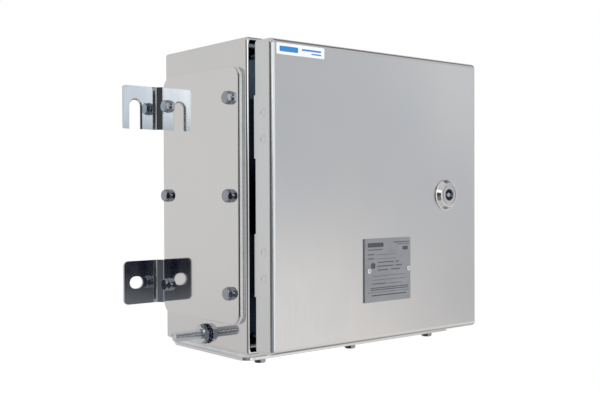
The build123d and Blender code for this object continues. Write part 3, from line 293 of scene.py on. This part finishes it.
def ceramic(name):
    """Glazed fuse tube with faint speckles under the glaze."""
    s = Shade(name, (0.83, 0.80, 0.72), 0.0, 0.22, Coat_Weight=0.6, Coat_Roughness=0.08)
    specks = s.noise(420.0, 3.0, 0.6)
    s.color(s.blend(s.spread(specks, 0.0, 1.0, 0.42, 0.72), (0.86, 0.84, 0.78), (0.70, 0.65, 0.55)))
    s.roughness(s.spread(s.noise(50.0, 3.0, 0.5), 0.16, 0.34))
    s.bump(s.noise(160.0, 2.0, 0.5), 0.12, 0.0001)
    return s.material


def painted_plate(name):
    """Satin metal plate with a grey print ground, finely scratched."""
    s = Shade(name, (0.27, 0.28, 0.30), 0.55, 0.42)
    scratches = s.noise(700.0, 5.0, 0.7, (0.04, 1, 1))
    patches = s.noise(40.0, 3.0, 0.5)
    ground = s.blend(s.spread(patches, 0.0, 1.0), (0.25, 0.26, 0.28), (0.30, 0.31, 0.33))
    s.color(s.blend(s.spread(scratches, 0.0, 0.35, 0.45, 0.75), ground, (0.42, 0.43, 0.44)))
    s.roughness(s.spread(scratches, 0.34, 0.5))
    s.bump(scratches, 0.08, 0.00004)
    return s.material


def printed(name, color):
    """Screen-printed ink: slightly uneven cover."""
    s = Shade(name, color, 0.0, 0.5)
    cover = s.noise(1600.0, 3.0, 0.6)
    thin = tuple(min(1.0, 1.25 * part + 0.02) for part in color)
    s.color(s.blend(s.spread(cover, 0.0, 0.7), color, thin))
    s.roughness(s.spread(cover, 0.42, 0.6))
    s.bump(cover, 0.1, 0.00002)
    return s.material


def film(name):
    """White adhesive film with a soft gloss and a faint orange peel."""
    s = Shade(name, (0.88, 0.89, 0.90), 0.0, 0.28, Coat_Weight=0.4, Coat_Roughness=0.15)
    patches = s.noise(90.0, 3.0, 0.5)
    s.color(s.blend(s.spread(patches, 0.0, 1.0), (0.86, 0.87, 0.89), (0.91, 0.92, 0.93)))
    s.roughness(s.spread(patches, 0.22, 0.36))
    s.bump(s.noise(500.0, 2.0, 0.5), 0.06, 0.00005)
    return s.material


# ------------------------------------------------------------------------------ the materials
STEEL, STEEL_COOL = (0.63, 0.63, 0.625), (0.60, 0.61, 0.62)

MATERIALS = {
    "door": brushed("door_stainless", STEEL, STEEL_COOL, 0.21, (1, 1, 0.015), 0.05, 0.03),
    "body": brushed("body_stainless", (0.62, 0.61, 0.60), (0.60, 0.60, 0.60), 0.07,
                    (1, 0.02, 1), 0.12, 0.12, 0.03),
    "plate": brushed("gland_plate_stainless", (0.64, 0.63, 0.62), (0.62, 0.62, 0.62), 0.07,
                     (1, 1, 0.02), 0.1, 0.1),
    "lug": polished("lug_stainless", (0.58, 0.60, 0.63), 0.08),
    "bolt": turned("bolt_stainless", (0.33, 0.35, 0.39), 0.1),
    "stud": turned("stud_stainless", (0.62, 0.64, 0.67), 0.12),
    "teeth": turned("toothed_washer_steel", (0.22, 0.25, 0.29), 0.12),
    "inner_fastener": turned("zinc_fastener", (0.62, 0.63, 0.62), 0.3),
    "clamp_screw": turned("clamp_screw", (0.68, 0.67, 0.63), 0.28),
    # painted shade: the hinges, pins, lock keeper and cover hinge are stainless, given a dark navy colour
    # for the shade in the gap behind the door
    "hinge": turned("hinge_stainless_painted_shade", (0.12, 0.16, 0.20), 0.35),
    "cam": turned("cam_zinc", (0.64, 0.64, 0.62), 0.3),
    "shaft": turned("shaft_steel", (0.55, 0.55, 0.56), 0.25),
    "chrome": polished("lock_chrome", (0.66, 0.65, 0.64), 0.06),
    "insert": polished("insert_nickel", (0.50, 0.52, 0.55), 0.12),
    "rivet": polished("rivet_aluminium", (0.80, 0.81, 0.82), 0.16),
    "cap": polished("fuse_cap_nickel", (0.72, 0.70, 0.66), 0.14),
    "escutcheon": brushed("escutcheon_aluminium", (0.72, 0.72, 0.73), (0.66, 0.66, 0.67), 0.3,
                          (0.03, 1, 1)),
    "rail": polished("rail_zinc", (0.70, 0.69, 0.62), 0.26),
    "galvanised": galvanised("galvanised_sheet"),
    "copper": copper("tinned_copper"),
    "brass": polished("earth_bar_brass", (0.80, 0.62, 0.30), 0.24),
    "ceramic": ceramic("fuse_ceramic"),
    "gland_gasket": foam("gland_gasket_foam", (0.72, 0.73, 0.74)),
    "seal": foam("black_foam_seal", (0.035, 0.036, 0.04)),
    "terminal": moulded("terminal_beige", (0.48, 0.46, 0.40)),
    "earth_terminal": moulded("terminal_green", (0.13, 0.33, 0.07)),
    "post": moulded("post_red_brown", (0.30, 0.05, 0.03)),
    "base": moulded("switch_base_black", (0.035, 0.035, 0.038), 0.5),
    "housing": moulded("switch_housing_grey", (0.24, 0.25, 0.26), 0.48),
    "cover": moulded("fuse_cover_grey", (0.10, 0.11, 0.12), 0.3),
    "handle": moulded("handle_red", (0.48, 0.02, 0.015), 0.32, Coat_Weight=0.3),
    "nameplate": painted_plate("nameplate_grey"),
    "label": film("label_white"),
    "ink": printed("ink_dark_grey", (0.045, 0.05, 0.06)),
    "blue_ink": printed("ink_blue", (0.01, 0.20, 0.54)),
}

NODE_MATERIALS = {
    "body": ("enclosure_body", "sealing_frame"),
    "door": ("door_panel",),
    "plate": ("side_gland_plate", "base_gland_plate"),
    "gland_gasket": ("side_gland_gasket", "base_gland_gasket"),
    "seal": ("door_gasket", "lug_seals", "lock_seal"),
    "lug": ("upper_left_lug", "upper_right_lug", "lower_left_lug", "lower_right_lug"),
    "bolt": ("gland_bolts", "gland_washers"),
    "stud": ("earth_stud_nuts",),
    "teeth": ("earth_toothed_washer",),
    "inner_fastener": ("m6_nuts", "lug_screws", "plate_screws", "keeper_rivets"),
    "clamp_screw": ("earth_bar_screws", "terminal_screws"),
    "hinge": ("hinge_body_leaves", "hinge_pins", "hinge_door_leaves", "lock_keeper", "cover_hinge"),
    "cam": ("lock_cam", "lock_cam_screw", "lock_nut"),
    "shaft": ("switch_shaft",),
    "chrome": ("lock_housing",),
    "insert": ("lock_insert",),
    "rivet": ("nameplate_rivets",),
    "cap": ("fuse_caps",),
    "escutcheon": ("switch_escutcheon",),
    "rail": ("din_rail",),
    "galvanised": ("mounting_plate", "mounting_studs"),
    "copper": ("line_contacts", "fuse_links", "fuse_clips", "load_terminals", "moving_contacts"),
    "brass": ("earth_bar",),
    "ceramic": ("fuse_bodies",),
    "terminal": ("feed_terminals", "end_clamps"),
    "earth_terminal": ("earth_terminals",),
    "post": ("earth_bar_posts",),
    "base": ("switch_base",),
    "housing": ("switch_housing", "contact_carriage"),
    "cover": ("fuse_cover",),
    "handle": ("switch_handle",),
    "nameplate": ("nameplate",),
    "label": ("identification_label",),
}


def dress_nodes():
    """Gives every CAD node its material and smooth shading on its curved faces."""
    for key, names in NODE_MATERIALS.items():
        for name in names:
            mesh = NODES[name].data
            mesh.materials.clear()
            mesh.materials.append(MATERIALS[key])
            mesh.shade_smooth()
            mesh.set_sharp_from_angle(angle=math.radians(28))


# ------------------------------------------------------------------------------ mesh kit
def finish_piece(name, mesh, material, body, smooth=True):
    """Makes a piece of a bmesh: material, material slot and the body it rides on."""
    bmesh.ops.recalc_face_normals(mesh, faces=mesh.faces)
    data = bpy.data.meshes.new(name)
    mesh.to_mesh(data)
    mesh.free()
    data.materials.append(MATERIALS[material])
    if smooth:
        data.shade_smooth()
        data.set_sharp_from_angle(angle=math.radians(30))
    piece = bpy.data.objects.new(name, data)
    bpy.context.scene.collection.objects.link(piece)
    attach(piece, body)
    return piece


def loft(mesh, rings):
    """Joins rings of points, each of the same count, into a closed skin."""
    rows = [[mesh.verts.new(point) for point in ring] for ring in rings]
    count = len(rows[0])
    for below, above in zip(rows, rows[1:]):
        for k in range(count):
            mesh.faces.new((below[k], below[(k + 1) % count], above[(k + 1) % count], above[k]))
    mesh.faces.new(rows[0][::-1])
    mesh.faces.new(rows[-1])


def rounded_outline(half_x, half_z, radius):
    """Points round a rectangle with rounded corners."""
    points, steps = [], 4
    for k, (sx, sz) in enumerate(((1, 1), (-1, 1), (-1, -1), (1, -1))):
        for j in range(steps + 1):
            angle = math.radians(90 * k + 90 * j / steps)
            points.append((sx * (half_x - radius) + radius * math.cos(angle),
                           sz * (half_z - radius) + radius * math.sin(angle)))
    return points


def bar(mesh, x0, x1, z0, z1, y, radius):
    """A thin printed bar standing out of a front face at a depth."""
    outline = rounded_outline((x1 - x0) / 2, (z1 - z0) / 2, radius)
    middle = ((x0 + x1) / 2, (z0 + z1) / 2)
    loft(mesh, [[(middle[0] + px, depth, middle[1] + pz) for px, pz in outline]
                for depth in (y, y - PRINT_T)])


def frame_toward(origin, direction, across):
    """A matrix whose Z points along a direction and whose X lies along another."""
    z_axis = Vector(direction).normalized()
    x_axis = Vector(across).normalized()
    y_axis = z_axis.cross(x_axis)
    matrix = Matrix((x_axis, y_axis, z_axis)).transposed().to_4x4()
    matrix.translation = origin
    return matrix


def thread(mesh, place, length, radius):
    """A threaded rod: each ring of points follows the helix, so the crests climb round it."""
    # along one pitch, and out from the root of the thread (0) to its crest (1)
    profile = ((0.0, 0.0), (0.12, 0.0), (0.45, 1.0), (0.58, 1.0), (0.9, 0.0))
    root = radius - THREAD_DEPTH
    turns = int(length / THREAD_PITCH) - 1
    columns = []
    for k in range(THREAD_SIDES):
        lead = THREAD_PITCH * k / THREAD_SIDES
        path = [(0.0, root - TIP_CHAMFER), (0.5 * THREAD_START, root)]
        for turn in range(turns):
            for along, out in profile:
                z = THREAD_START + lead + THREAD_PITCH * (turn + along)
                path.append((z, root + THREAD_DEPTH * out))
        path += [(length - 0.5 * THREAD_START, root), (length, root - TIP_CHAMFER)]
        angle = 2 * math.pi * k / THREAD_SIDES
        columns.append([place @ Vector((r * math.cos(angle), r * math.sin(angle), z)) for z, r in path])
    loft(mesh, list(zip(*columns)))


# ------------------------------------------------------------------------------ added pieces
def threaded_stud():
    """The earth stud with its real thread, in place of the plain rod."""
    low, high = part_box("earth_stud")
    length = high[0] - low[0]
    radius = (high[2] - low[2]) / 2
    inner_end = Vector((high[0], (low[1] + high[1]) / 2, (low[2] + high[2]) / 2))
    mesh = bmesh.new()
    thread(mesh, frame_toward(inner_end, (-1, 0, 0), (0, 1, 0)), length, radius)
    piece = finish_piece("earth_stud_thread", mesh, "stud", "enclosure")
    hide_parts("earth_stud")


# printed bars as fractions of the plate's width and height: left, right, bottom, top
NAMEPLATE_BARS = (
    (0.06, 0.40, 0.865, 0.935), (0.62, 0.97, 0.925, 0.94), (0.70, 0.97, 0.895, 0.905),
    (0.06, 0.38, 0.82, 0.833), (0.82, 0.94, 0.80, 0.86),
    (0.06, 0.20, 0.745, 0.760), (0.24, 0.68, 0.742, 0.748),
    (0.06, 0.20, 0.680, 0.695), (0.24, 0.68, 0.677, 0.683),
    (0.27, 0.62, 0.615, 0.630), (0.66, 0.74, 0.615, 0.630), (0.13, 0.22, 0.53, 0.62),
    (0.27, 0.62, 0.555, 0.570), (0.66, 0.80, 0.555, 0.570),
    (0.27, 0.50, 0.495, 0.510), (0.56, 0.76, 0.495, 0.510),
    (0.16, 0.88, 0.405, 0.412), (0.16, 0.88, 0.345, 0.352),
    (0.16, 0.46, 0.280, 0.294), (0.50, 0.82, 0.277, 0.284),
    (0.12, 0.94, 0.215, 0.228), (0.12, 0.94, 0.185, 0.198), (0.06, 0.96, 0.150, 0.156),
    (0.14, 0.90, 0.095, 0.112),
)
LABEL_BARS = ((0.06, 0.44, 0.26, 0.74), (0.52, 0.93, 0.52, 0.68), (0.72, 0.93, 0.24, 0.36))


def print_on(node, name, rows, roundness, ink):
    """Generic bars on the front face of a node, with no wording."""
    low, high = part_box(node)
    width, height = high[0] - low[0], high[2] - low[2]
    mesh = bmesh.new()
    for left, right, bottom, top in rows:
        bar(mesh, low[0] + width * left, low[0] + width * right, low[2] + height * bottom,
            low[2] + height * top, low[1], roundness * height * (top - bottom))
    finish_piece(name, mesh, ink, "door", smooth=False)


dress_nodes()
threaded_stud()
print_on("nameplate", "nameplate_rules", NAMEPLATE_BARS, 0.3, "ink")
print_on("identification_label", "label_blocks", LABEL_BARS, 0.2, "blue_ink")


# ------------------------------------------------------------------------------ studio
def floor():
    """A pale sweep well below the box."""
    bottom = CAD_BOX[0][2] - FLOOR_DROP
    mesh = bmesh.new()
    bmesh.ops.create_grid(mesh, x_segments=8, y_segments=8, size=FLOOR_HALF)
    data = bpy.data.meshes.new("floor")
    mesh.to_mesh(data)
    mesh.free()
    s = Shade("floor_white", (0.93, 0.93, 0.93), 0.0, 0.7)
    s.shader.inputs["Emission Color"].default_value = (1.0, 1.0, 1.0, 1.0)
    s.shader.inputs["Emission Strength"].default_value = 0.35
    data.materials.append(s.material)
    plane = bpy.data.objects.new("floor", data)
    plane.location = (0.0, 0.0, bottom)
    plane.visible_glossy = False
    bpy.context.scene.collection.objects.link(plane)


def area_light(name, place, target, size, power, color):
    data = bpy.data.lights.new(name, "AREA")
    data.shape = "RECTANGLE"
    data.size, data.size_y = size
    data.energy = power
    data.color = color
    lamp = bpy.data.objects.new(name, data)
    lamp.location = place
    lamp.rotation_euler = (Vector(target) - Vector(place)).to_track_quat("-Z", "Y").to_euler()
    lamp.visible_glossy = False
    bpy.context.scene.collection.objects.link(lamp)


SURROUNDINGS = (
    # direction, half width, half height, colour: soft patches of the studio, which the camera doesn't see
    ((-0.93, -0.36, 0.15), 0.50, 0.90, (0.08, 0.075, 0.075)),
    ((-0.80, -0.44, 0.44), 0.30, 0.26, (1.60, 1.62, 1.65)),
    ((-0.86, -0.51, -0.40), 0.50, 0.36, (0.24, 0.27, 0.31)),
    ((-0.55, -0.83, 0.75), 0.40, 0.60, (0.22, 0.20, 0.19)),
    ((-0.50, -0.86, -0.40), 0.40, 0.34, (0.18, 0.25, 0.34)),
    ((0.0, -1.0, 0.0), 0.42, 0.50, (1.30, 1.30, 1.29)),
    ((-0.53, -0.85, 0.15), 0.24, 0.13, (1.55, 1.70, 1.80)),
    ((-0.58, -0.81, 0.17), 0.13, 0.12, (2.50, 2.55, 2.60)),
    ((-0.53, -0.85, -0.035), 0.24, 0.115, (0.002, 0.006, 0.020)),
    ((0.62, 0.00, 0.78), 0.42, 0.40, (0.22, 0.19, 0.18)),
    ((0.50, 0.05, -0.85), 0.45, 0.40, (0.30, 0.33, 0.38)),
    ((0.72, -0.66, 0.25), 0.60, 0.42, (0.70, 0.71, 0.74)),
    ((0.70, -0.70, -0.42), 0.70, 0.42, (1.02, 0.97, 0.94)),
    ((0.80, -0.60, 0.16), 0.14, 0.16, (0.94, 0.95, 0.97)),
    ((0.61, -0.79, -0.16), 0.11, 0.14, (1.16, 1.12, 1.10)),
    ((0.81, -0.59, -0.13), 0.14, 0.11, (0.62, 0.62, 0.64)),
)
SKY_TOP, SKY_LEVEL, SKY_GROUND = (0.84, 0.84, 0.85), (0.89, 0.885, 0.88), (0.76, 0.75, 0.74)


def studio_world():
    """Soft white surroundings with a few brighter and darker patches, as a photographer's flags make."""
    world = bpy.data.worlds.new("studio")
    bpy.context.scene.world = world
    world.use_nodes = True
    tree = world.node_tree
    place = tree.nodes.new("ShaderNodeTexCoord").outputs["Generated"]

    def vector_math(operation, first, second=None):
        node = tree.nodes.new("ShaderNodeVectorMath")
        node.operation = operation
        tree.links.new(first, node.inputs[0])
        if second:
            node.inputs[1].default_value = second
        return node.outputs["Value" if operation == "LENGTH" else "Vector"]

    def mixed(factor, first, second):
        node = tree.nodes.new("ShaderNodeMix")
        node.data_type = "RGBA"
        tree.links.new(factor, node.inputs["Factor"])
        for key, color in ((6, first), (7, second)):
            if isinstance(color, tuple):
                node.inputs[key].default_value = (*color, 1.0)
            else:
                tree.links.new(color, node.inputs[key])
        return node.outputs[2]

    def faded(value, start, end):
        node = tree.nodes.new("ShaderNodeMapRange")
        node.interpolation_type = "SMOOTHSTEP"
        node.inputs["From Min"].default_value = start
        node.inputs["From Max"].default_value = end
        tree.links.new(value, node.inputs["Value"])
        return node.outputs["Result"]

    split = tree.nodes.new("ShaderNodeSeparateXYZ")
    tree.links.new(place, split.inputs["Vector"])
    color = mixed(faded(split.outputs["Z"], 0.0, 0.5), SKY_LEVEL, SKY_TOP)
    color = mixed(faded(split.outputs["Z"], 0.0, -0.3), color, SKY_GROUND)
    for direction, half_width, half_height, patch in SURROUNDINGS:
        offset = vector_math("SUBTRACT", place, direction)
        offset = vector_math("MULTIPLY", offset, (1 / half_width, 1 / half_width, 1 / half_height))
        color = mixed(faded(vector_math("LENGTH", offset), 1.0, 0.55), color, patch)
    ray = tree.nodes.new("ShaderNodeLightPath").outputs["Is Camera Ray"]
    tree.links.new(mixed(ray, color, (1.0, 1.0, 1.0)), tree.nodes["Background"].inputs["Color"])


def camera():
    data = bpy.data.cameras.new("camera")
    data.lens = CAMERA_LENS
    data.sensor_width = 36.0
    data.clip_start, data.clip_end = 0.01, 50.0
    eye = bpy.data.objects.new("camera", data)
    cos_pitch = math.cos(CAMERA_PITCH)
    forward = Vector((math.sin(CAMERA_YAW) * cos_pitch, math.cos(CAMERA_YAW) * cos_pitch,
                      math.sin(CAMERA_PITCH)))
    right = forward.cross(Vector((0, 0, 1))).normalized()
    up = right.cross(forward)
    turn = Matrix((right, up, -forward)).transposed() @ Matrix.Rotation(CAMERA_ROLL, 3, "Z")
    eye.matrix_world = Matrix.Translation(CAMERA_PLACE) @ turn.to_4x4()
    bpy.context.scene.collection.objects.link(eye)
    bpy.context.scene.camera = eye


floor()
studio_world()
area_light("key", (-0.9, -1.6, 1.6), (0.0, 0.0, 0.1), (1.2, 1.2), 14.0, (1.0, 0.99, 0.97))
camera()
bpy.context.scene.view_settings.view_transform = "Standard"
